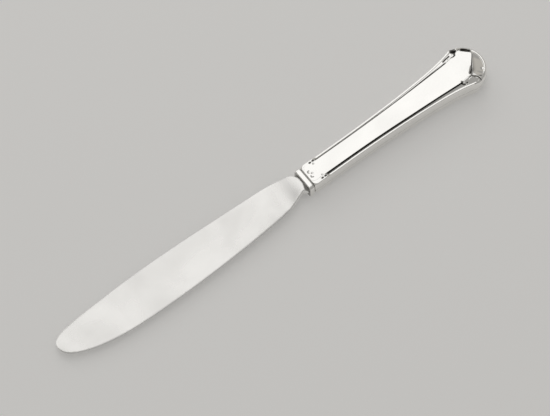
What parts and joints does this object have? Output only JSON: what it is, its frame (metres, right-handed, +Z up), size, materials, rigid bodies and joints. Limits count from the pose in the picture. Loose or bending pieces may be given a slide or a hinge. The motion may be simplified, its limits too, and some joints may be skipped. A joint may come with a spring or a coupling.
{
  "type": "table knife",
  "caption": "Table knife with a round-ended steel blade cemented into a hollow, thread-edged metal handle with a collar at its mouth.",
  "frame": {"origin": "under the middle of the knife, on the surface it lies on", "axes": "+X from the blade's tip to the butt of the handle, +Y towards the spine of the blade, +Z up from the surface the knife lies on"},
  "size_m": [0.2254, 0.021, 0.0104],
  "materials": {
    "blade_steel": "stainless steel, satin polished, with fine lengthwise wear",
    "handle_silver": "polished silver with soft wear and darker grooves",
    "collar_silver": "polished silver",
    "filling_cement": "matt set cement, hidden inside the handle",
    "seam_solder": "hard silver solder, filed flush"
  },
  "bodies": {
    "root": {"blade": "blade_steel", "front_shell": "handle_silver", "back_shell": "handle_silver", "neck_collar": "collar_silver", "handle_filling": "filling_cement", "seam_solder": "seam_solder"}
  },
  "joints": []
}
